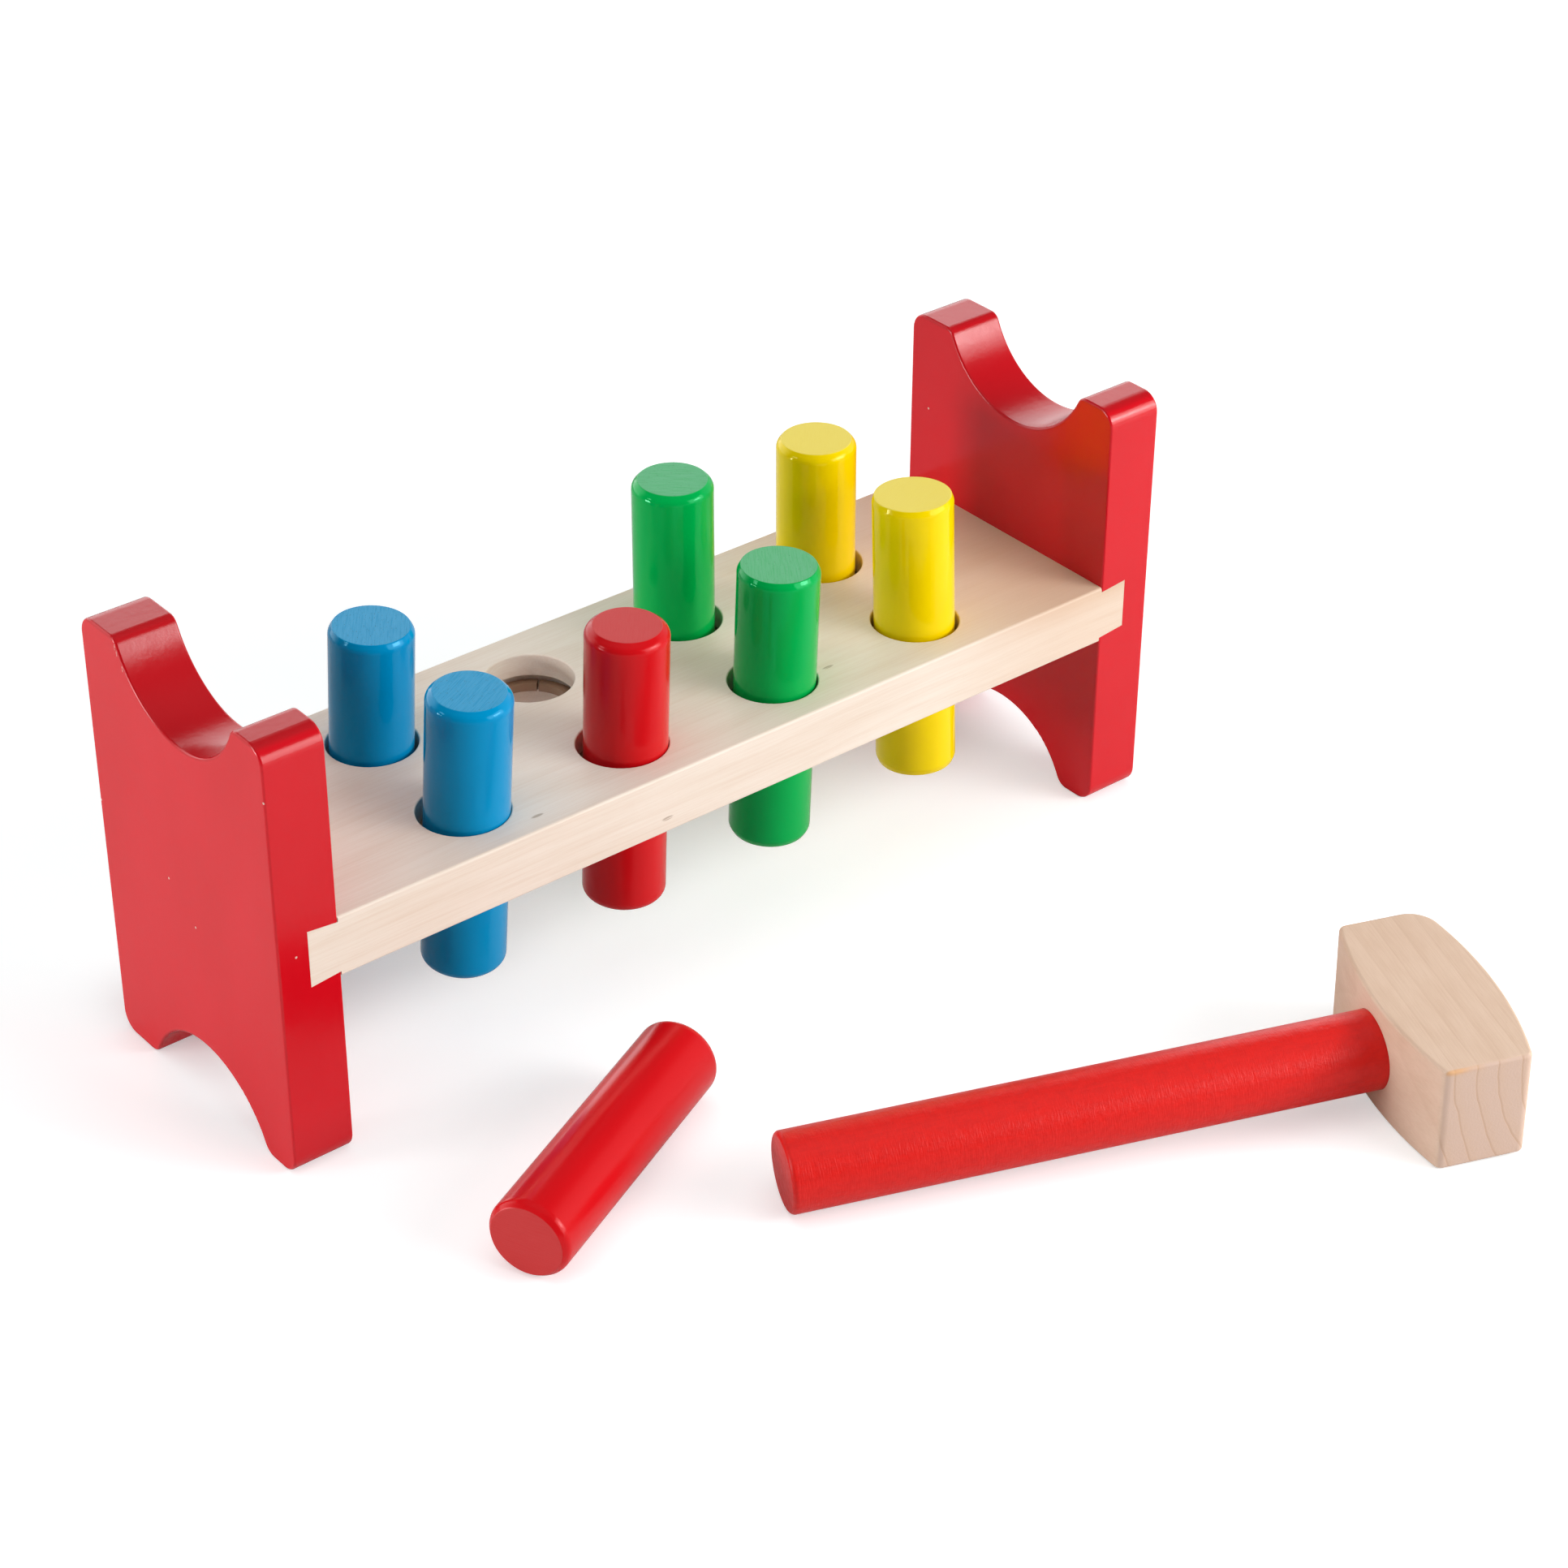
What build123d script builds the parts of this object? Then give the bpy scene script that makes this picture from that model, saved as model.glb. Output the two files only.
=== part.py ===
from build123d import *
import os
from math import asin, atan2, cos, degrees, hypot, radians, sin

# Pounding bench with eight pegs and a mallet, as it stands in use, in millimetres.
# +X runs along the bench, +Y to its back and +Z up from the floor.
# The origin is on the floor, in the middle of the whole set.

os.makedirs("parts", exist_ok=True)

# Bench
bench_length = 260.0
bench_width = 74.0
bench_height = 113.6
panel_thickness = 15.8
deck_thickness = 15.8

# Outline of the end panels, the same at the top and at the feet
valley_depth = 16.3
valley_radius = 25.5
valley_forward = 1.6
corner_radius = 4.8
horn_crest_radius = 3.0
foot_crest_radius = 4.0
panel_edge_round = 0.6

# Sliding dovetails that join the deck to the end panels, of which the right one flares less
tongue_reach = 7.9
tongue_root_height = 13.2
tongue_tip_height = 14.8
right_tip_height = 13.2
right_tip_raised = 0.8
glue_line = 0.05
deck_edge_round = 0.7

# Peg holes, in rows along the deck, and the groove inside each one
hole_columns = 4
hole_rows = 2
hole_pitch = 45.3
row_spacing = 37.0
holes_left = 0.4
holes_forward = 0.7
hole_diameter = 22.0
hole_mouth_round = 0.4
groove_diameter = 26.8
groove_height = 4.1

# Split friction rings, which lie loose in the grooves
ring_outer_diameter = 24.8
ring_height = 2.0
ring_split_width = 0.5
ring_split_heading = 44.0
grip_clearance = 0.05

# Pegs, whose flat ends run into the side over a steep shoulder
peg_diameter = 20.1
peg_length = 74.2
peg_shoulder_height = 1.45
peg_shoulder_inset = 1.3
peg_shoulder_round = 2.5
peg_end_edge_round = 0.3

# How far each peg's upper end stands above the deck
blue_back_raised = 31.5
blue_front_raised = 32.2
red_front_raised = 31.9
green_back_raised = 38.9
green_front_raised = 31.6
yellow_back_raised = 35.0
yellow_front_raised = 34.5

# Red peg that lies on the floor in front of the bench, measured from the bench's middle
loose_peg_right = -109.5
loose_peg_back = -97.3
loose_peg_heading = 25.3

# Mallet, whose head lies on one flat side
handle_diameter = 19.1
handle_reach = 141.4
handle_seat_depth = 18.0
handle_end_round = 1.2
head_length = 59.0
head_end_width = 21.2
head_bulge = 4.1
head_thickness = 28.0
head_corner_radius = 2.0
head_far_corner_radius = 7.5
head_edge_round = 0.9

# Where the handle enters the mallet's head, measured from the bench's middle
mallet_right = 79.2
mallet_back = -167.7
mallet_heading = -22.6

# Length that a cut runs past the surface it starts from
overrun = 1.0

# Column from the left, row from the front and height of each peg that stands in the bench
peg_places = {
    "blue_back_peg": (0, 1, blue_back_raised),
    "blue_front_peg": (0, 0, blue_front_raised),
    "red_front_peg": (1, 0, red_front_raised),
    "green_back_peg": (2, 1, green_back_raised),
    "green_front_peg": (2, 0, green_front_raised),
    "yellow_back_peg": (3, 1, yellow_back_raised),
    "yellow_front_peg": (3, 0, yellow_front_raised),
}

# Where each peg leans at the deck's top, as shares of its play to the right and to the back
upper_lean_shares = {
    "blue_back_peg": (-0.04, 0.03),
    "blue_front_peg": (0.54, -0.70),
    "red_front_peg": (0.68, -0.56),
    "green_back_peg": (-0.72, 0.59),
    "green_front_peg": (0.44, -0.36),
    "yellow_back_peg": (-0.72, 0.59),
    "yellow_front_peg": (0.0, 0.25),
}

# The same at the deck's underside
lower_lean_shares = {
    "blue_back_peg": (-0.69, 0.57),
    "blue_front_peg": (0.0, 0.27),
    "red_front_peg": (0.32, -0.26),
    "green_back_peg": (-0.70, 0.57),
    "green_front_peg": (0.07, -0.05),
    "yellow_back_peg": (-0.66, 0.54),
    "yellow_front_peg": (0.18, -0.40),
}

# How far each peg's shoulder leans in, as shares of the usual inset
shoulder_inset_shares = {
    "blue_back_peg": 0.7,
    "blue_front_peg": 1.25,
    "red_front_peg": 1.5,
    "green_back_peg": 1.15,
    "green_front_peg": 0.65,
    "yellow_back_peg": 1.0,
    "yellow_front_peg": 0.45,
    "loose_red_peg": 0.9,
}

# Column and row of the hole that is left empty
empty_hole = (1, 1)

# Height of the left and of the right tongue's tip, and how far it lies above the deck's middle
tongue_tips = {-1: (tongue_tip_height, 0), 1: (right_tip_height, right_tip_raised)}

# Heights and clearances that follow from the sizes above
deck_middle = bench_height / 2
deck_top = deck_middle + deck_thickness / 2
deck_underside = deck_middle - deck_thickness / 2
deck_length = bench_length - 2 * panel_thickness
groove_floor = deck_middle - groove_height / 2
peg_play = (hole_diameter - peg_diameter) / 2
ring_bore_radius = peg_diameter / 2 + grip_clearance

# The mallet tips down until its handle's end and its head's edge both touch the floor
tip_arm = handle_reach - handle_end_round + head_edge_round
tip_drop = (handle_diameter - head_thickness) / 2 - handle_end_round + head_edge_round
tip_span = hypot(tip_arm, tip_drop)
mallet_rise = degrees(asin((head_edge_round - handle_end_round) / tip_span) - atan2(tip_drop, tip_arm))
rise_sine = sin(radians(mallet_rise))
rise_cosine = cos(radians(mallet_rise))
heading_sine = sin(radians(mallet_heading))
heading_cosine = cos(radians(mallet_heading))
entry_height = (
    (head_thickness / 2 - head_edge_round) * rise_cosine
    + head_edge_round
    - head_edge_round * rise_sine
)

# The bench stands this far back, so that the origin is in the middle of the set
head_front = (
    mallet_back
    + (head_bulge + head_end_width) * rise_cosine * heading_sine
    - head_length / 2 * heading_cosine
)
bench_back = -(bench_width / 2 + head_front) / 2


def hole_centre(column, row):
    """Gives the place of one hole on the floor plan."""
    right = (column - (hole_columns - 1) / 2) * hole_pitch - holes_left
    back = (row - (hole_rows - 1) / 2) * row_spacing - holes_forward + bench_back
    return right, back


def leaning_axis(name):
    """Gives the points where a peg's axis meets the deck's top and underside."""
    column, row, raised = peg_places[name]
    right, back = hole_centre(column, row)
    upper_right, upper_back = upper_lean_shares[name]
    lower_right, lower_back = lower_lean_shares[name]
    upper = Vector(right + upper_right * peg_play, back + upper_back * peg_play, deck_top)
    lower = Vector(right + lower_right * peg_play, back + lower_back * peg_play, deck_underside)
    return upper, lower


def peg_ends(name):
    """Gives the middle of a standing peg's upper and lower end."""
    upper, lower = leaning_axis(name)
    direction = (upper - lower).normalized()
    raised = peg_places[name][2]
    top = upper + direction * (raised / direction.Z)
    return top, top - direction * peg_length


def flat_end_radius(name):
    """Gives the radius of a peg's flat ends, inside the shoulder."""
    return peg_diameter / 2 - peg_shoulder_inset * shoulder_inset_shares[name]


def dovetail_section(side, clearance):
    """Draws the section of one dovetail, from inside the deck to the tongue's tip."""
    shoulder = side * (bench_length / 2 - panel_thickness)
    tip = shoulder + side * (tongue_reach + clearance)
    start = shoulder - side * overrun
    tip_height, tip_raised = tongue_tips[side]
    tip_middle = deck_middle + tip_raised
    root_half = tongue_root_height / 2 + clearance
    tip_half = tip_height / 2 + clearance
    with BuildSketch(Plane.XZ.offset(-bench_back)) as section:
        with BuildLine():
            Polyline(
                (start, deck_middle - root_half),
                (shoulder, deck_middle - root_half),
                (tip, tip_middle - tip_half),
                (tip, tip_middle + tip_half),
                (shoulder, deck_middle + root_half),
                (start, deck_middle + root_half),
                close=True,
            )
        make_face()
    return section.sketch


# End panels, each with a valley between two horns and an arch between two feet
for side, panel_name in ((-1, "left_end_panel"), (1, "right_end_panel")):
    with BuildPart() as panel:
        with BuildSketch(Plane.YZ.offset(side * bench_length / 2)) as outline:
            with Locations((bench_back, bench_height / 2)):
                Rectangle(bench_width, bench_height)
            valley_centre = valley_depth - valley_radius
            with Locations(
                (bench_back - valley_forward, valley_centre),
                (bench_back - valley_forward, bench_height - valley_centre),
            ):
                Circle(valley_radius, mode=Mode.SUBTRACT)
            fillet(outline.vertices().group_by(Axis.Y)[-1].sort_by(Axis.X)[1:3], horn_crest_radius)
            fillet(outline.vertices().group_by(Axis.Y)[0].sort_by(Axis.X)[1:3], foot_crest_radius)
            front_corners = outline.vertices().group_by(Axis.X)[0]
            back_corners = outline.vertices().group_by(Axis.X)[-1]
            fillet(front_corners + back_corners, corner_radius)
        extrude(amount=-side * panel_thickness)
        broad_faces = panel.faces().sort_by(Axis.X)
        fillet(broad_faces[0].edges() + broad_faces[-1].edges(), panel_edge_round)
        socket = dovetail_section(side, glue_line)
        extrude(socket, amount=bench_width / 2 + overrun, both=True, mode=Mode.SUBTRACT)
    panel.part.label = panel_name
    export_step(panel.part, f"parts/{panel_name}.step")

# Deck, with a dovetail tongue along each end and a grooved hole for every peg
with BuildPart() as deck:
    with Locations((0, bench_back, deck_middle)):
        Box(deck_length, bench_width, deck_thickness)
    fillet(deck.edges().filter_by(Axis.X), deck_edge_round)
    for side in (-1, 1):
        extrude(dovetail_section(side, 0), amount=bench_width / 2, both=True)
    with Locations((-holes_left, bench_back - holes_forward, deck_top)):
        with GridLocations(hole_pitch, row_spacing, hole_columns, hole_rows):
            Hole(hole_diameter / 2)
    mouths = deck.edges().filter_by(GeomType.CIRCLE).group_by(Axis.Z)
    fillet(mouths[0] + mouths[-1], hole_mouth_round)
    with Locations((-holes_left, bench_back - holes_forward, deck_middle)):
        with GridLocations(hole_pitch, row_spacing, hole_columns, hole_rows):
            Cylinder(groove_diameter / 2, groove_height, mode=Mode.SUBTRACT)
deck.part.label = "deck"
export_step(deck.part, "parts/deck.step")

# Friction rings, each square to the peg that it grips, or flat in its groove with no peg
ring_planes = {}
split_direction = (cos(radians(ring_split_heading)), sin(radians(ring_split_heading)), 0)
for name in peg_places:
    upper, lower = leaning_axis(name)
    ring_name = name.replace("peg", "ring")
    ring_planes[ring_name] = Plane((upper + lower) / 2, x_dir=split_direction, z_dir=upper - lower)
empty_right, empty_back = hole_centre(*empty_hole)
ring_planes["empty_hole_ring"] = Plane(
    (empty_right, empty_back, groove_floor + ring_height / 2), x_dir=split_direction, z_dir=(0, 0, 1)
)
for ring_name, ring_plane in ring_planes.items():
    with BuildPart() as ring:
        with BuildSketch(ring_plane):
            Circle(ring_outer_diameter / 2)
            Circle(ring_bore_radius, mode=Mode.SUBTRACT)
            with Locations((ring_outer_diameter / 2, 0)):
                Rectangle(ring_outer_diameter, ring_split_width, mode=Mode.SUBTRACT)
        extrude(amount=ring_height / 2, both=True)
    ring.part.label = ring_name
    export_step(ring.part, f"parts/{ring_name}.step")

# Pegs, seven in their holes and one on the floor
peg_planes = {}
for name in peg_places:
    top, foot = peg_ends(name)
    peg_planes[name] = Plane(foot, z_dir=top - foot)
peg_planes["loose_red_peg"] = Plane(
    (loose_peg_right, loose_peg_back + bench_back, peg_diameter / 2),
    z_dir=(cos(radians(loose_peg_heading)), sin(radians(loose_peg_heading)), 0),
)
for name, peg_plane in peg_planes.items():
    flat_radius = flat_end_radius(name)
    along_plane = Plane(peg_plane.origin, x_dir=peg_plane.x_dir, z_dir=-peg_plane.y_dir)
    with BuildPart() as peg:
        with BuildSketch(along_plane) as profile:
            with BuildLine():
                Polyline(
                    (0, 0),
                    (flat_radius, 0),
                    (peg_diameter / 2, peg_shoulder_height),
                    (peg_diameter / 2, peg_length - peg_shoulder_height),
                    (flat_radius, peg_length),
                    (0, peg_length),
                    close=True,
                )
            make_face()
            fillet(profile.vertices().group_by(Axis.X)[1], peg_end_edge_round)
            fillet(profile.vertices().group_by(Axis.X)[-1], peg_shoulder_round)
        revolve(axis=Axis(peg_plane.origin, peg_plane.z_dir))
    peg.part.label = name
    export_step(peg.part, f"parts/{name}.step")

# Mallet, in a plane through the handle's axis, with local X from the handle into the head
handle_direction = Vector(rise_cosine * heading_cosine, rise_cosine * heading_sine, rise_sine)
head_up = Vector(-rise_sine * heading_cosine, -rise_sine * heading_sine, rise_cosine)
entry = Vector(mallet_right, mallet_back + bench_back, entry_height)
head_plane = Plane(entry, x_dir=handle_direction, z_dir=head_up)
handle_plane = Plane(entry, z_dir=handle_direction)

# Head, a block whose handle side and far side both bulge between flat striking ends
with BuildPart() as mallet_head:
    with BuildSketch(head_plane):
        with BuildLine():
            near_side = head_bulge
            far_side = head_bulge + head_end_width
            ThreePointArc((near_side, -head_length / 2), (0, 0), (near_side, head_length / 2))
            Line((near_side, head_length / 2), (far_side, head_length / 2))
            ThreePointArc(
                (far_side, head_length / 2), (far_side + head_bulge, 0), (far_side, -head_length / 2)
            )
            Line((far_side, -head_length / 2), (near_side, -head_length / 2))
        make_face()
    extrude(amount=head_thickness / 2, both=True)
    corners = mallet_head.edges().filter_by(Axis(entry, head_up))
    far_corners = corners.sort_by(Axis(entry, handle_direction))[-2:]
    rounder_corner = far_corners.sort_by(Axis(entry, head_plane.y_dir))[-1]
    fillet([edge for edge in corners if edge != rounder_corner], head_corner_radius)
    fillet(rounder_corner, head_far_corner_radius)
    flat_sides = mallet_head.faces().filter_by(Axis(entry, head_up))
    fillet(flat_sides.edges(), head_edge_round)
    with BuildSketch(handle_plane.offset(-overrun)):
        Circle(handle_diameter / 2 + glue_line)
    extrude(amount=handle_seat_depth + overrun, mode=Mode.SUBTRACT)
mallet_head.part.label = "mallet_head"
export_step(mallet_head.part, "parts/mallet_head.step")

# Handle, a dowel whose end is seated on the bottom of the head's bore
with BuildPart() as mallet_handle:
    with BuildSketch(handle_plane.offset(-handle_reach)):
        Circle(handle_diameter / 2)
    extrude(amount=handle_reach + handle_seat_depth)
    fillet(mallet_handle.edges().filter_by(GeomType.CIRCLE), handle_end_round)
mallet_handle.part.label = "mallet_handle"
export_step(mallet_handle.part, "parts/mallet_handle.step")
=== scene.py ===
# %% [markdown]
# # A peg pounding bench
#
# This is a wooden toy: two red end panels carry a pale deck, painted pegs stand in the deck's
# holes, and a mallet lies in front to drive them through. Every piece has its true shape in
# the imported model already, so this script gives the pieces their finish and their light.
# It is read from top to bottom, one cell at a time, and most code cells print what they made.

# %% Load the imported model
import math

import bmesh
import bpy
import numpy as np
from mathutils import Matrix, Vector


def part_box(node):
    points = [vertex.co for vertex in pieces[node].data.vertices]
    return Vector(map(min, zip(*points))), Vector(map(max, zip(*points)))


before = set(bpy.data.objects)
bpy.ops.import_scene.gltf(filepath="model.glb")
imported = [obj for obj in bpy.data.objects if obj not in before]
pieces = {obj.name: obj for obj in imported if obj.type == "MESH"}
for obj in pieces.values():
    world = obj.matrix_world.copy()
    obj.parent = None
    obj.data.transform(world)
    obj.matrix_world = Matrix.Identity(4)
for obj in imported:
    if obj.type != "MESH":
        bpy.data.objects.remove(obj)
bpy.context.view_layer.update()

# %% [markdown]
# Blender works in metres, and wood grain is easier to think of in millimetres, so one value
# turns one into the other. The bench isn't in the middle of the set, so what is placed from
# the bench, such as the camera, starts from the middle of its deck on the floor.

# %% Units and the bench's place
MM = 0.001


def middle_of(name):
    """The middle of a piece's box at rest."""
    low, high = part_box(name)
    return (Vector(low) + Vector(high)) / 2


bench_middle = middle_of("deck")
bench_middle.z = 0.0
print("bench stands at:", [round(side, 4) for side in bench_middle])

# %% [markdown]
# ## The camera
#
# The camera could be placed by eye, but then no edge would fall where the photograph has it.
# Its place and angles were worked out from the bench's straight edges instead. A heading of
# zero looks along +Y, the dip turns the view down to the floor, and the roll is a small tilt
# that the edges asked for.

# %% Camera
camera_right = -457.4 * MM
camera_back = -606.05 * MM
camera_height = 528.70 * MM
camera_heading = math.radians(39.484)
camera_dip = math.radians(33.101)
camera_roll = math.radians(0.399)
camera_lens = 84.823

camera = bpy.data.objects.new("camera", bpy.data.cameras.new("camera"))
bpy.context.scene.collection.objects.link(camera)
camera.data.lens = camera_lens
camera.data.sensor_width = 36.0
camera.data.clip_start = 0.01
camera.data.clip_end = 20.0
turned = (
    Matrix.Rotation(-camera_heading, 4, "Z")
    @ Matrix.Rotation(math.pi / 2 - camera_dip, 4, "X")
    @ Matrix.Rotation(camera_roll, 4, "Z")
)
camera.matrix_world = Matrix.Translation(
    bench_middle + Vector((camera_right, camera_back, camera_height))
) @ turned
bpy.context.scene.camera = camera
bpy.context.scene.view_settings.view_transform = "Standard"
print("camera at:", [round(side, 3) for side in camera.location])

# %% [markdown]
# ## Shader maths written as Python
#
# Finishes are mixed from many small Math nodes, and placing them by hand hides what they
# say. Here one class wraps a socket, and its operators add the Math nodes, so `1 - mask`
# reads as what it is. Every other node comes from one method, which takes the node's type,
# its settings and the values or links of its sockets.

# %% A class for numbers on a surface


class Signal:
    """A socket's output, on which Python's operators add Math nodes."""

    def __init__(self, tree, socket):
        self.tree = tree
        self.socket = socket

    def maths(self, operation, *terms):
        """Adds a Math node that works on the given terms."""
        return self.tree.node("Math", {"operation": operation}, dict(enumerate(terms)))

    def __add__(self, other):
        return self.maths("ADD", self, other)

    def __radd__(self, other):
        return self.maths("ADD", other, self)

    def __sub__(self, other):
        return self.maths("SUBTRACT", self, other)

    def __rsub__(self, other):
        return self.maths("SUBTRACT", other, self)

    def __mul__(self, other):
        return self.maths("MULTIPLY", self, other)

    def __rmul__(self, other):
        return self.maths("MULTIPLY", other, self)

    def __truediv__(self, other):
        return self.maths("DIVIDE", self, other)

    def __abs__(self):
        return self.maths("ABSOLUTE", self)

    def larger(self, other):
        """The larger of two numbers, which joins two masks into one."""
        return self.maths("MAXIMUM", self, other)

    def root(self):
        """The square root."""
        return self.maths("SQRT", self)

    def fraction(self):
        """What is left over a whole number, which repeats a pattern."""
        return self.maths("FRACT", self)


# A Mix node has sockets for every kind of data, and these are the ones for colours.
MIX_SHARE, MIX_FIRST, MIX_SECOND = 0, 6, 7
MIX_COLOUR_OUT = 2
VECTOR_LENGTH_OUT = 1


class Tree:
    """A node tree, which one method fills."""

    def __init__(self, tree):
        self.tree = tree

    def node(self, kind, settings=None, sockets=None, out=0):
        """Adds a node: its settings first, then a value or a link for each socket."""
        made = self.tree.nodes.new("ShaderNode" + kind)
        for name, value in (settings or {}).items():
            setattr(made, name, value)
        for name, value in (sockets or {}).items():
            if isinstance(value, Signal):
                self.tree.links.new(value.socket, made.inputs[name])
            else:
                made.inputs[name].default_value = value
        return Signal(self, made.outputs[out])

    def vector_maths(self, operation, *terms, out=0):
        """Adds a Vector Math node that works on the given terms."""
        return self.node("VectorMath", {"operation": operation}, dict(enumerate(terms)), out)

    def rise(self, value, low, high):
        """Goes smoothly from 0 to 1 while the value goes from low to high."""
        return self.node(
            "MapRange",
            {"interpolation_type": "SMOOTHSTEP"},
            {"Value": value, "From Min": low, "From Max": high},
        )

    def noise(self, at, lumps, detail=2.0, harshness=0.5, shift=0.0):
        """Cloudy noise around 0.5, with lumps as long as given along each axis."""
        moved = self.vector_maths("DIVIDE", at, lumps)
        return self.node(
            "TexNoise",
            {"noise_dimensions": "4D"},
            {"Vector": moved, "W": shift, "Scale": 1.0, "Detail": detail, "Roughness": harshness},
        )

    def mix(self, share, first, second):
        """Mixes two colours by a share of the second."""
        return self.node(
            "Mix",
            {"data_type": "RGBA"},
            {MIX_SHARE: share, MIX_FIRST: first, MIX_SECOND: second},
            out=MIX_COLOUR_OUT,
        )

    def split(self, vector):
        """A vector's three numbers."""
        parts = self.node("SeparateXYZ", {}, {0: vector}).socket.node
        return [Signal(self, socket) for socket in parts.outputs]

    def length_of(self, first, second):
        """The length of a line that goes that far in two directions."""
        return (first * first + second * second).root()


print("shader maths ready")

# %% [markdown]
# A finish is a tree with a principled shader at its end. What is the same all over the
# surface goes straight into the shader's sockets. Patterns are drawn on the piece itself,
# in millimetres from its middle and along its own grain, so that they stay with the piece
# when it moves and no two pieces look alike.

# %% A class for finishes
SPOT_EDGE = 0.3


class Finish(Tree):
    """A material whose patterns are measured in millimetres, in the frame of its piece."""

    def __init__(self, name, piece_frame, **constants):
        self.material = bpy.data.materials.new(name)
        self.material.use_nodes = True
        super().__init__(self.material.node_tree)
        self.shader = self.tree.nodes["Principled BSDF"]
        for socket, value in constants.items():
            self.shader.inputs[socket.replace("_", " ")].default_value = value
        place = self.node("TexCoord", out="Object")
        self.at = self.node(
            "Mapping",
            {"vector_type": "TEXTURE"},
            {
                "Vector": place,
                "Location": piece_frame.translation,
                "Rotation": piece_frame.to_euler(),
                "Scale": (MM, MM, MM),
            },
        )

    def feed(self, **sockets):
        """Links what changes over the surface to the shader."""
        for socket, value in sockets.items():
            self.tree.links.new(value.socket, self.shader.inputs[socket.replace("_", " ")])

    def bump(self, height, depth):
        """A normal that is tilted by a height of the given depth in millimetres."""
        return self.node("Bump", {}, {"Height": height, "Distance": depth * MM})

    def spots(self, middles, radius, stretch=(1.0, 1.0, 1.0)):
        """1 on spots round the given places, longer along an axis by its stretch."""
        found = None
        for middle in middles:
            away = self.vector_maths("SUBTRACT", self.at, middle)
            away = self.vector_maths("DIVIDE", away, stretch)
            distance = self.vector_maths("LENGTH", away, out=VECTOR_LENGTH_OUT)
            spot = 1 - self.rise(distance, radius * (1 - SPOT_EDGE), radius * (1 + SPOT_EDGE))
            found = spot if found is None else found.larger(spot)
        return found

    def wear(self, name):
        """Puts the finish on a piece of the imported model."""
        pieces[name].data.materials.clear()
        pieces[name].data.materials.append(self.material)


def upright_frame(name):
    """A piece's own frame where it isn't turned: its middle, and the room's directions."""
    return Matrix.Translation(middle_of(name))


def bar_frame(name):
    """The frame of a round bar: its middle, with Z along the way its points spread most."""
    points = np.array([vertex.co for vertex in pieces[name].data.vertices])
    spreads, directions = np.linalg.eigh(np.cov(points.T))
    axis = Vector(directions[:, -1])
    if axis.z + axis.x < 0:
        axis.negate()
    turned_to_axis = axis.to_track_quat("Z", "Y").to_matrix().to_4x4()
    return Matrix.Translation(middle_of(name)) @ turned_to_axis


print("finishes ready")

# %% [markdown]
# ## Painted end panels
#
# Each end panel is a board with two coats of gloss red enamel. The paint hides the wood's
# colour but not its surface. On the broad faces the grain stands upright and still shows
# as faint ridges, and on the tops and in the valleys, where the end grain drinks the paint,
# the red is a little deeper and the gloss breaks up into a mottled sheen. A clear coat could
# give the gloss too, but enamel is one layer, so one smooth shader is enough. What sets a
# used toy apart from a new one is small: pale specks where paint is gone, and chips along an
# edge. They are placed on the two sides that the camera sees, a panel's left face and its
# front edge.

# %% Red enamel
RED_ENAMEL = (0.700, 0.003, 0.012, 1.0)
RED_ENAMEL_DEEP = (0.660, 0.002, 0.009, 1.0)
END_GRAIN_RED = (0.560, 0.002, 0.008, 1.0)
BARE_SPECK = (0.820, 0.560, 0.480, 1.0)
VALLEY_RADIUS = 25.5
VALLEY_FORWARD = 1.6
VALLEY_HEIGHT = 66.0
PANEL_HALF = 56.8
LEFT_FACE = -7.9
FRONT_EDGE = -37.0
SPECK_RADIUS = 0.28
CHIP_RADIUS = 0.32
CHIP_STRETCH = (0.8, 0.8, 2.4)
CHIP_STRENGTH = 0.45
ENAMEL_RELIEF = 0.06


def red_enamel(name, shift, specks, chips=()):
    """Enamel with upright ridges, mottled end grain, pale specks and chipped places."""
    finish = Finish(name + "_enamel", upright_frame(name), IOR=1.46)
    thickness, depth, height = finish.split(finish.at)
    valley = finish.length_of(depth + VALLEY_FORWARD, abs(height) - VALLEY_HEIGHT)
    hollow = 1 - finish.rise(valley, VALLEY_RADIUS + 0.2, VALLEY_RADIUS + 0.9)
    end_grain = hollow.larger(finish.rise(abs(height), PANEL_HALF - 1.2, PANEL_HALF - 0.4))

    cloud = finish.noise(finish.at, (30.0, 30.0, 60.0), shift=shift)
    ridges = finish.noise(finish.at, (0.9, 0.9, 24.0), detail=3.0, shift=shift + 3.0)
    ripple = finish.noise(finish.at, (5.0, 5.0, 5.0), shift=shift + 7.0)
    pores = finish.noise(finish.at, (1.3, 1.3, 1.3), detail=4.0, harshness=0.6, shift=shift + 9.0)
    ragged = finish.noise(finish.at, (0.5, 0.5, 0.5), shift=shift + 11.0)

    paint = finish.mix(finish.rise(cloud, 0.35, 0.7), RED_ENAMEL, RED_ENAMEL_DEEP)
    paint = finish.mix(end_grain, paint, END_GRAIN_RED)
    bare = finish.spots(specks, SPECK_RADIUS)
    if chips:
        chipped = finish.spots(chips, CHIP_RADIUS, CHIP_STRETCH)
        chipped = chipped * finish.rise(ragged, 0.35, 0.50)
        bare = bare.larger(chipped * CHIP_STRENGTH)
    relief = ripple + ridges * 0.35 * (1 - end_grain) + pores * 0.7 * end_grain
    finish.feed(
        Base_Color=finish.mix(bare, paint, BARE_SPECK),
        Roughness=0.16 + 0.05 * cloud + 0.06 * end_grain + 0.3 * bare,
        Normal=finish.bump(relief - bare * 1.5, ENAMEL_RELIEF),
    )
    finish.wear(name)


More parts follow.
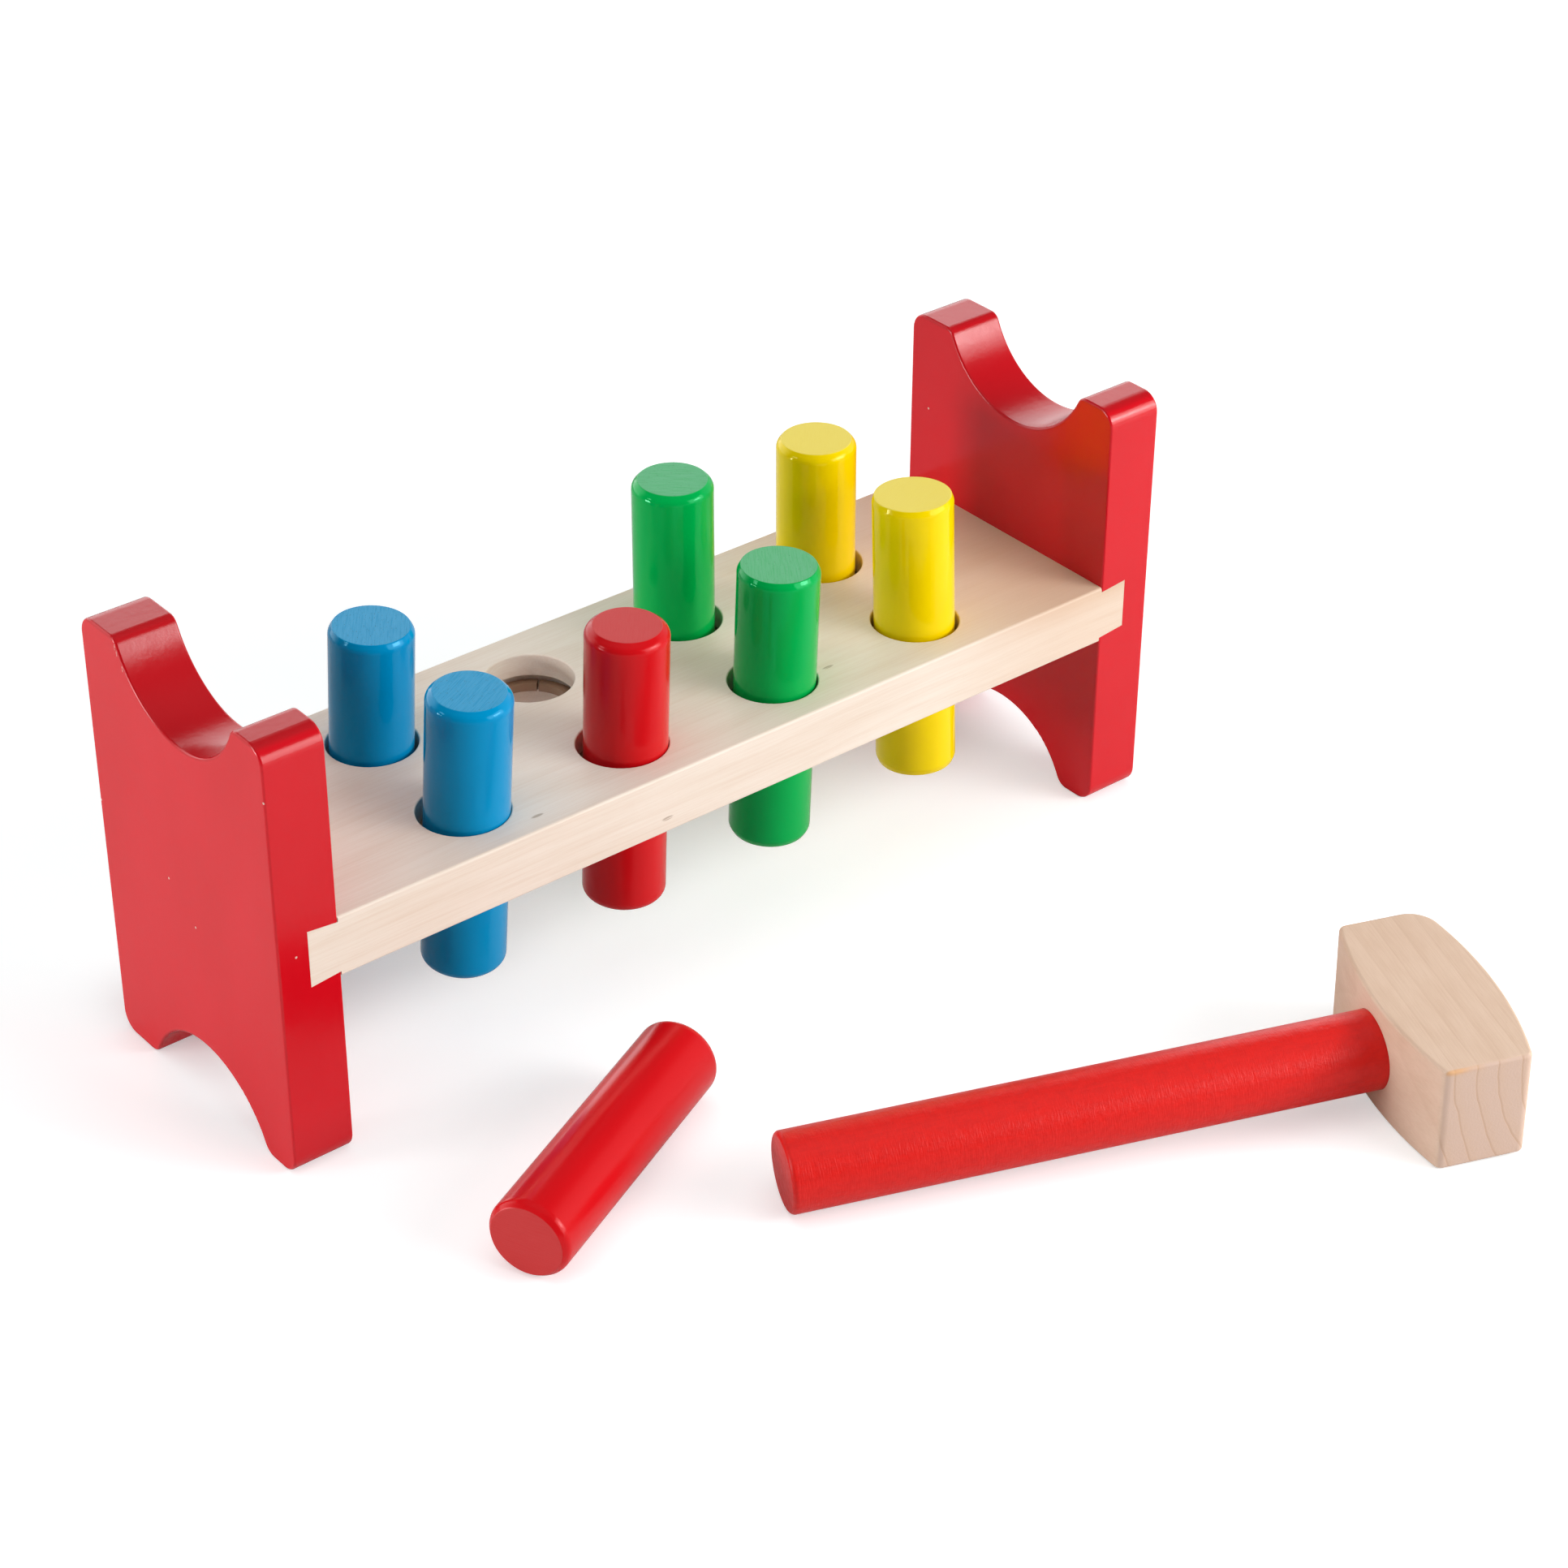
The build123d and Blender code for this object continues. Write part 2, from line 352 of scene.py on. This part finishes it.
left_specks = [
    (LEFT_FACE, 36.4, 7.4),
    (LEFT_FACE, 8.1, 0.8),
    (LEFT_FACE, -2.0, -7.2),
    (LEFT_FACE, -36.6, 43.8),
    (-3.2, FRONT_EDGE, 2.1),
]
left_chips = [(LEFT_FACE, 22.1, 54.6), (LEFT_FACE, 21.5, 53.3), (LEFT_FACE, 19.6, 50.2)]
right_specks = [(LEFT_FACE, 30.0, 31.3), (LEFT_FACE, 16.0, 54.0)]
red_enamel("left_end_panel", 1.0, left_specks, left_chips)
red_enamel("right_end_panel", 2.0, right_specks)
print("painted: end panels with", len(left_specks) + len(right_specks), "specks")

# %% [markdown]
# ## The deck
#
# The deck is a planed board of pale, even hardwood under a clear finish. A flat texture
# would show the same pattern on every side. A tree's growth rings are cylinders round its
# pith, so the wood is made of those instead: the pith lies below the board, a slow noise
# bends the rings, and every face, hole and tongue cuts them where it lies. Pale hardwood
# hardly shows its rings, and what catches the eye is a fine fibre with a few short flecks.
# Towards its right end the board is painted warmer and darker, and more so on its top: painted
# shade with the red glow that the right panel throws on it.

# %% Pale wood
DECK_LIGHT = (0.940, 0.838, 0.722, 1.0)
DECK_DARK = (0.820, 0.660, 0.520, 1.0)
# Painted shade and red glow from the right panel, not a colour of the wood.
DECK_PAINTED_RED_SHADE = (0.690, 0.430, 0.260, 1.0)
DECK_FLECK = (0.420, 0.310, 0.220, 1.0)
PITH_BEHIND = 12.0
PITH_BELOW = 62.0
PITH_BEND = 16.0
RING_WIDTH = 3.6
RED_SHADE_FROM, RED_SHADE_TO = 50.0, 105.0
DECK_TOP = 7.9
DECK_FRONT = -37.0
FLECK_RADIUS = 0.45
FLECK_STRETCH = (3.4, 1.0, 1.0)
DECK_RELIEF = 0.035


def deck_wood(name, flecks):
    """Wood along X, cut from a log whose pith runs under the board."""
    finish = Finish(name + "_wood", upright_frame(name), IOR=1.4)
    along, across, up = finish.split(finish.at)
    bend = finish.noise(finish.at, (120.0, 30.0, 30.0), shift=2.0)
    pith = finish.length_of(across - PITH_BEHIND, up + PITH_BELOW) + bend * PITH_BEND
    ring = (pith / RING_WIDTH).fraction()
    late = finish.rise(ring, 0.45, 0.92) * (1 - finish.rise(ring, 0.92, 1.0))

    cloud = finish.noise(finish.at, (60.0, 9.0, 9.0), detail=3.0, shift=4.0)
    fibre = finish.noise(finish.at, (16.0, 0.40, 0.40), detail=3.0, shift=5.0)
    dashes = finish.rise(finish.noise(finish.at, (3.2, 0.30, 0.30), shift=6.0), 0.70, 0.80)
    clouded = finish.rise(cloud, 0.35, 0.75)
    fibrous = finish.rise(fibre, 0.35, 0.70)
    tint = late * 0.12 + clouded * 0.35 + fibrous * 0.30
    wood = finish.mix(tint, DECK_LIGHT, DECK_DARK)
    # Painted light: the right end is darkened and reddened, more on the top, as shade and red
    # glow from the right panel.
    painted_red_shade = finish.rise(along, RED_SHADE_FROM, RED_SHADE_TO) * (0.35 + 0.30 * finish.rise(up, 0.0, 7.0))
    wood = finish.mix(painted_red_shade, wood, DECK_PAINTED_RED_SHADE)
    marks = finish.spots(flecks, FLECK_RADIUS, FLECK_STRETCH)
    marks = marks * finish.rise(fibre, 0.30, 0.45) * 0.75
    wood = finish.mix((dashes * 0.16).larger(marks), wood, DECK_FLECK)
    finish.feed(
        Base_Color=wood,
        Roughness=0.40 + 0.10 * fibre,
        Normal=finish.bump(fibre, DECK_RELIEF),
    )
    finish.wear(name)


deck_flecks = [(36.2, -23.3, DECK_TOP), (-56.8, -31.9, DECK_TOP), (-23.5, DECK_FRONT, -4.0)]
deck_wood("deck", deck_flecks)
print("finished: deck with", len(deck_flecks), "flecks")

# %% [markdown]
# ## Friction rings
#
# A split ring of tan plastic lies in a groove of each hole and grips the peg. Only the one
# in the empty hole shows. It is moulded, so it is even and matt.

# %% Ring plastic
RING_TAN = (0.430, 0.270, 0.170, 1.0)
RING_TAN_DEEP = (0.360, 0.215, 0.130, 1.0)
RING_ROUGHNESS = 0.5


def ring_plastic(name):
    """Moulded plastic, slightly cloudy."""
    finish = Finish(name + "_plastic", upright_frame(name), Roughness=RING_ROUGHNESS)
    cloud = finish.noise(finish.at, (3.0, 3.0, 3.0))
    finish.feed(Base_Color=finish.mix(cloud, RING_TAN, RING_TAN_DEEP))
    finish.wear(name)


ring_names = [name for name in pieces if name.endswith("_ring")]
for name in ring_names:
    ring_plastic(name)
print("finished:", len(ring_names), "rings")

# %% [markdown]
# ## Painted pegs
#
# The pegs are turned dowels that were dipped in gloss paint. The side and the shoulder are smooth
# and mirror the lamps. The flat ends are sawn end grain: the paint sinks in there, so they are
# nearly matt, with the saw's fine lines and a few dark pores. They are lighter partly because
# sunken paint is paler, and partly as a painted sheen, the grey backdrop that their tinted gloss
# mirrors too weakly. Paint with this much dye in it tints even what it mirrors, so each colour
# has its own tint for the gloss. How far the flat reaches differs from peg to peg, so it is
# measured on each mesh instead of being written down.

# %% Peg paint
SIDE_PAINTS = {
    "blue": (0.000, 0.303, 0.620, 1.0),
    "green": (0.000, 0.448, 0.080, 1.0),
    "yellow": (1.000, 0.735, 0.000, 1.0),
    "red": (0.690, 0.005, 0.009, 1.0),
}
# End colours are paler sunken paint together with a painted sheen of the mirrored backdrop.
END_PAINTS_WITH_SHEEN = {
    "blue": (0.050, 0.380, 0.670, 1.0),
    "green": (0.120, 0.510, 0.230, 1.0),
    "yellow": (0.980, 0.800, 0.120, 1.0),
    "red": (0.660, 0.045, 0.045, 1.0),
}
GLOSS_TINTS = {
    "blue": (0.250, 0.750, 1.000, 1.0),
    "green": (0.250, 1.000, 0.600, 1.0),
    "yellow": (1.000, 0.900, 0.400, 1.0),
    "red": (1.000, 0.500, 0.500, 1.0),
}
SAW_LINES = {"blue": 0.70, "green": 0.38, "yellow": 0.12, "red": 0.22}
PAINT_GRAIN = {"blue": 0.08, "green": 0.08, "yellow": 0.10, "red": 0.20}
PORES = {"blue": 0.75, "green": 0.50, "yellow": 0.05, "red": 0.12}
DEEP_SHARE = 0.92
PORE_SHARE = 0.25
END_ROUGHNESS = 0.45
PEG_RELIEF = 0.05
FLAT_TOLERANCE = 0.02


def darker(colour, share):
    """A colour that keeps only a share of its light."""
    return tuple(share * part for part in colour[:3]) + (1.0,)


def flat_radius(name):
    """How far the flat end of a peg reaches from its axis, in millimetres."""
    points = np.array([vertex.co for vertex in pieces[name].data.vertices])
    inverse = np.array(bar_frame(name).inverted())
    own = points @ inverse[:3, :3].T + inverse[:3, 3]
    outermost = np.abs(own[:, 2]).max()
    ends = own[np.abs(own[:, 2]) > outermost - FLAT_TOLERANCE * MM]
    return float(np.hypot(ends[:, 0], ends[:, 1]).max() / MM)


def peg_paint(name, paint, shift):
    """Gloss paint on a peg's side and shoulder, and sunken paint with a painted sheen on its flat
    ends.
    """
    gloss = {"IOR": 1.42, "Specular_Tint": GLOSS_TINTS[paint]}
    finish = Finish(name + "_paint", bar_frame(name), **gloss)
    across, sideways, along = finish.split(finish.at)
    radius = finish.length_of(across, sideways)
    flat = flat_radius(name)
    end = 1 - finish.rise(radius, flat - 0.05, flat + 0.2)

    saw = finish.noise(finish.at, (6.0, 0.28, 40.0), detail=3.0, shift=shift)
    pore = finish.noise(finish.at, (0.9, 0.22, 40.0), shift=shift + 1.0)
    pores = finish.rise(pore, 0.62, 0.70) * PORES[paint] * end
    ripple = finish.noise(finish.at, (4.0, 4.0, 12.0), shift=shift + 3.0)
    cloud = finish.noise(finish.at, (8.0, 8.0, 30.0), shift=shift + 5.0)

    deep = darker(SIDE_PAINTS[paint], DEEP_SHARE)
    side = finish.mix(finish.rise(cloud, 0.35, 0.75) * 0.5, SIDE_PAINTS[paint], deep)
    sunken_with_sheen = finish.mix(finish.rise(saw, 0.4, 0.7) * SAW_LINES[paint], END_PAINTS_WITH_SHEEN[paint], deep)
    colour = finish.mix(end, side, sunken_with_sheen)
    dark = darker(SIDE_PAINTS[paint], PORE_SHARE)
    finish.feed(
        Base_Color=finish.mix(pores, colour, dark),
        Roughness=PAINT_GRAIN[paint] * (1 - end) + END_ROUGHNESS * end,
        Normal=finish.bump(ripple * 0.6 + saw * end * SAW_LINES[paint] - pores, PEG_RELIEF),
    )
    finish.wear(name)
    return flat


peg_names = sorted(name for name in pieces if name.endswith("_peg"))
for turn, name in enumerate(peg_names):
    paint = next(word for word in SIDE_PAINTS if word in name.split("_"))
    flat = peg_paint(name, paint, 10.0 * turn)
    print("painted:", name, "with a flat end of", round(flat, 2), "mm")

# %% [markdown]
# ## The mallet
#
# The head is a block of unpainted wood with its grain along the head. Its growth rings are
# wide, so they show as long lines on the flat sides and as curved lines on the striking
# ends, where the wood is paler and pinkish. The handle is a dowel in orange-red stain. Stain
# soaks in and leaves faint turning marks in sight, so its sheen is softer than the pegs'.

# %% Mallet finishes
HEAD_LIGHT = (0.810, 0.600, 0.455, 1.0)
HEAD_DARK = (0.690, 0.470, 0.330, 1.0)
HEAD_END = (0.700, 0.500, 0.400, 1.0)
HEAD_RING = (0.560, 0.330, 0.210, 1.0)
STAIN_EDGE = (0.780, 0.420, 0.180, 1.0)
HANDLE_RED = (0.820, 0.015, 0.011, 1.0)
HANDLE_RED_DEEP = (0.560, 0.006, 0.006, 1.0)
HEAD_HALF_LENGTH = 29.5
HEAD_HALF_THICKNESS = 14.0
HEAD_PITH_BEYOND = 55.0
HEAD_PITH_ABOVE = 14.0
HEAD_PITH_BEND = 3.0
HEAD_RING_WIDTH = 5.4
HEAD_RELIEF = 0.05
HANDLE_RELIEF = 0.16


def head_frame():
    """The head's middle, with X along the handle, Y along the head and Z up."""
    along_handle = bar_frame("mallet_handle").to_3x3().col[2]
    along_head = Vector((0, 0, 1)).cross(along_handle).normalized()
    up = along_handle.cross(along_head)
    turned_head = Matrix((along_handle, along_head, up)).transposed().to_4x4()
    return Matrix.Translation(middle_of("mallet_head")) @ turned_head


def head_wood(name):
    """Wood along Y with wide growth rings, whose pith lies beyond the head's far side."""
    finish = Finish(name + "_wood", head_frame(), IOR=1.4)
    outwards, along, up = finish.split(finish.at)
    bend = finish.noise(finish.at, (14.0, 90.0, 14.0), shift=1.0)
    pith = finish.length_of(outwards - HEAD_PITH_BEYOND, up - HEAD_PITH_ABOVE)
    ring = ((pith + bend * HEAD_PITH_BEND) / HEAD_RING_WIDTH).fraction()
    late = finish.rise(ring, 0.35, 0.95) * (1 - finish.rise(ring, 0.96, 1.0))
    line = finish.rise(ring, 0.86, 0.95) * (1 - finish.rise(ring, 0.97, 1.0))
    end = finish.rise(abs(along), HEAD_HALF_LENGTH - 0.9, HEAD_HALF_LENGTH - 0.4)

    fibre = finish.noise(finish.at, (0.40, 9.0, 0.40), detail=3.0, shift=3.0)
    pores = finish.noise(finish.at, (0.5, 0.5, 0.5), shift=4.0)
    blotch = finish.noise(finish.at, (5.0, 14.0, 5.0), detail=3.0, shift=5.0)
    flecks = finish.rise(finish.noise(finish.at, (0.5, 1.6, 0.5), shift=6.0), 0.64, 0.74)

    blotched = finish.rise(blotch, 0.35, 0.70)
    fibrous = finish.rise(fibre, 0.35, 0.70)
    grain = late * 0.14 + blotched * 0.30 + fibrous * 0.25
    side = finish.mix(grain, HEAD_LIGHT, HEAD_DARK)
    side = finish.mix(flecks * 0.45, side, HEAD_DARK)
    sawn = finish.mix(late * 0.35 + finish.rise(pores, 0.4, 0.7) * 0.25, HEAD_END, HEAD_DARK)
    sawn = finish.mix(line * 0.45, sawn, HEAD_RING)
    side = finish.mix(line * 0.04, side, HEAD_RING)
    edge = finish.rise(up, HEAD_HALF_THICKNESS - 1.8, HEAD_HALF_THICKNESS - 0.5)
    stain = edge * end * (1 - finish.rise(outwards + blotch * 8.0, -4.0, 4.0))
    finish.feed(
        Base_Color=finish.mix(stain * 0.8, finish.mix(end, side, sawn), STAIN_EDGE),
        Roughness=0.50 + 0.10 * fibre,
        Normal=finish.bump(fibre * (1 - end) + pores * end - line * 0.4, HEAD_RELIEF),
    )
    finish.wear(name)


def handle_stain(name):
    """Stain on turned wood, with fine marks round the bar and a mottled sheen."""
    finish = Finish(name + "_stain", bar_frame(name), IOR=1.33)
    turned_marks = finish.noise(finish.at, (2.5, 2.5, 0.30), detail=3.0, shift=1.0)
    fibre = finish.noise(finish.at, (0.5, 0.5, 14.0), detail=3.0, shift=2.0)
    mottle = finish.noise(finish.at, (1.6, 1.6, 2.6), detail=4.0, harshness=0.6, shift=3.0)
    share = finish.rise(fibre * 0.3 + mottle * 0.7, 0.38, 0.68)
    relief = turned_marks * 0.6 + mottle + fibre * 0.2
    finish.feed(
        Base_Color=finish.mix(share * 0.3, HANDLE_RED, HANDLE_RED_DEEP),
        Roughness=0.22 + 0.24 * mottle,
        Normal=finish.bump(relief, HANDLE_RELIEF),
    )
    finish.wear(name)


head_wood("mallet_head")
handle_stain("mallet_handle")
print("finished: mallet")

# %% [markdown]
# ## Floor, lamps and world
#
# The set stands on a white floor that runs out of sight. The floor is a plain white sheet that
# takes the bench's shadow, and it is lifted for the camera only, so that it comes out white
# without more light on the toy. The lamps don't reach far, so the lift grows with the distance.
# Below the deck and behind it a much smaller lift paints a darker shadow of the bench onto the
# floor, deeper than the one the lamps cast. The lift is a little cool, against the red that the
# toy throws on the floor.

# %% Floor
FLOOR_WHITE = (0.800, 0.800, 0.800, 1.0)
PAINTED_SHADOW_LIFT = (0.120, 0.128, 0.130, 1.0)
NEAR_LIFT = (0.465, 0.492, 0.496, 1.0)
FAR_LIFT = (1.000, 1.000, 1.000, 1.0)
NO_LIFT = (0.0, 0.0, 0.0, 1.0)
FLOOR_HALF = 3.0
FAR_FROM, FAR_TO = 0.4, 1.2
SHADE_SIDES = (0.11, 0.14)
SHADE_FRONT = (-0.03, 0.01)
SHADE_BACK = (0.035, 0.065)
floor_mesh = bpy.data.meshes.new("floor")
shape = bmesh.new()
bmesh.ops.create_grid(shape, x_segments=1, y_segments=1, size=FLOOR_HALF)
shape.to_mesh(floor_mesh)
shape.free()
floor = bpy.data.objects.new("floor", floor_mesh)
bpy.context.scene.collection.objects.link(floor)

floor_material = bpy.data.materials.new("floor_white")
floor_material.use_nodes = True
floor_tree = Tree(floor_material.node_tree)
floor_shader = floor_tree.tree.nodes["Principled BSDF"]
floor_shader.inputs["Base Color"].default_value = FLOOR_WHITE
floor_shader.inputs["Roughness"].default_value = 1.0
floor_shader.inputs["Specular IOR Level"].default_value = 0.0
floor_shader.inputs["Emission Strength"].default_value = 1.0
across, away, _ = floor_tree.split(floor_tree.node("TexCoord", out="Object"))
far = floor_tree.rise(floor_tree.length_of(across, away), FAR_FROM, FAR_TO)
beside = floor_tree.rise(abs(across - bench_middle.x), *SHADE_SIDES)
in_front = floor_tree.rise(bench_middle.y - away, *SHADE_FRONT)
behind = floor_tree.rise(away - bench_middle.y, *SHADE_BACK)
# Painted shadow: below and behind the deck the lift is small, so the floor shows a darker shadow
# than the lamps cast.
painted_shadow = (1 - beside) * (1 - in_front) * (1 - behind)
lift = floor_tree.mix(painted_shadow, floor_tree.mix(far, NEAR_LIFT, FAR_LIFT), PAINTED_SHADOW_LIFT)
lift = floor_tree.mix(floor_tree.node("LightPath", out="Is Camera Ray"), NO_LIFT, lift)
floor_tree.tree.links.new(lift.socket, floor_shader.inputs["Emission Color"])
floor_mesh.materials.append(floor_material)
print("floor:", [round(side, 2) for side in floor.dimensions])

# %% [markdown]
# Two soft boxes light the bench, and both can be found in the photograph. The broad one
# stands in front and to the right, so front edges are brightest, and each peg is palest on
# its right. The small one stands low to the left and a little behind. It lights the outer
# face of the left panel, and what passes behind that panel reaches the pegs and the other
# panel. A soft box is brightest in its middle, so each has a small core light, which draws
# the short bright arcs on the pegs' shoulders. The table gives each lamp's direction from
# the bench, its distance, width and height in metres, and its power in watts.

# %% Lamps
LAMP_AIM_HEIGHT = 0.05
LAMPS = {
    "right_soft_box": ((0.52, -0.82, 0.34), 1.2, 1.0, 0.72, 9.0),
    "right_core_light": ((0.56, -0.78, 0.38), 1.15, 0.42, 0.22, 3.3),
    "left_soft_box": ((-0.955, 0.30, 0.07), 1.2, 0.34, 0.26, 6.8),
    "left_core_light": ((-0.83, 0.26, 0.48), 1.2, 0.26, 0.18, 1.0),
}


def soft_box(name, aim, distance, width, height, power):
    """A rectangular lamp that looks at the bench from the given direction."""
    lamp = bpy.data.objects.new(name, bpy.data.lights.new(name, "AREA"))
    lamp.data.shape = "RECTANGLE"
    lamp.data.size = width
    lamp.data.size_y = height
    lamp.data.energy = power
    direction = Vector(aim).normalized()
    turned_lamp = direction.to_track_quat("Z", "Y").to_matrix().to_4x4()
    place = bench_middle + Vector((0, 0, LAMP_AIM_HEIGHT)) + direction * distance
    lamp.matrix_world = Matrix.Translation(place) @ turned_lamp
    lamp.visible_camera = False
    bpy.context.scene.collection.objects.link(lamp)


for name, settings in LAMPS.items():
    soft_box(name, *settings)

# %% [markdown]
# The studio's walls do the rest. A soft ceiling lights what faces up, and the gloss doesn't
# mirror it, because the valleys are dark where they would show it. A white backdrop
# stands behind the bench, and its mirror image is the grey sheen on the pegs' tops and in
# the valleys. It is brighter where only the gloss sees it, and fades to the right. Towards
# the camera the room is dim, so what faces the camera keeps its full colour.

# %% World
ROOM_LEVEL = 0.08
CEILING_LEVEL = 1.20
BACKDROP_LEVEL = 0.45
MIRRORED_BACKDROP_LEVEL = 2.20
BACKDROP_SIDES = (-0.1, 0.35)
BACKDROP_TOP = (0.53, 0.68)
BACKDROP_FADE = (0.20, 0.36)
FADED_SHARE = 0.7
CEILING_EDGE = (0.70, 0.96)
world = bpy.data.worlds.new("studio")
bpy.context.scene.world = world
world.use_nodes = True
sky = Tree(world.node_tree)
background = sky.tree.nodes["Background"]
look = sky.node("TexCoord", out="Generated")
sideways, backwards, upwards = sky.split(look)
towards_back = sideways * math.sin(camera_heading) + backwards * math.cos(camera_heading)
right_of_view = sideways * math.cos(camera_heading) - backwards * math.sin(camera_heading)
backdrop = sky.rise(towards_back, *BACKDROP_SIDES) * (1 - sky.rise(upwards, *BACKDROP_TOP))
backdrop = backdrop * (1 - FADED_SHARE * sky.rise(right_of_view, *BACKDROP_FADE))
ceiling = sky.rise(upwards, *CEILING_EDGE)
seen = sky.node("LightPath", out="Is Camera Ray")
mirrored = sky.node("LightPath", out="Is Glossy Ray")
level = BACKDROP_LEVEL + mirrored * (MIRRORED_BACKDROP_LEVEL - BACKDROP_LEVEL)
overhead = ceiling * CEILING_LEVEL * (1 - mirrored)
grey = (ROOM_LEVEL + overhead + backdrop * level) * (1 - seen) + seen
sky.tree.links.new(grey.socket, background.inputs["Strength"])
background.inputs["Color"].default_value = (1.0, 1.0, 1.0, 1.0)
print("world:", world.name)
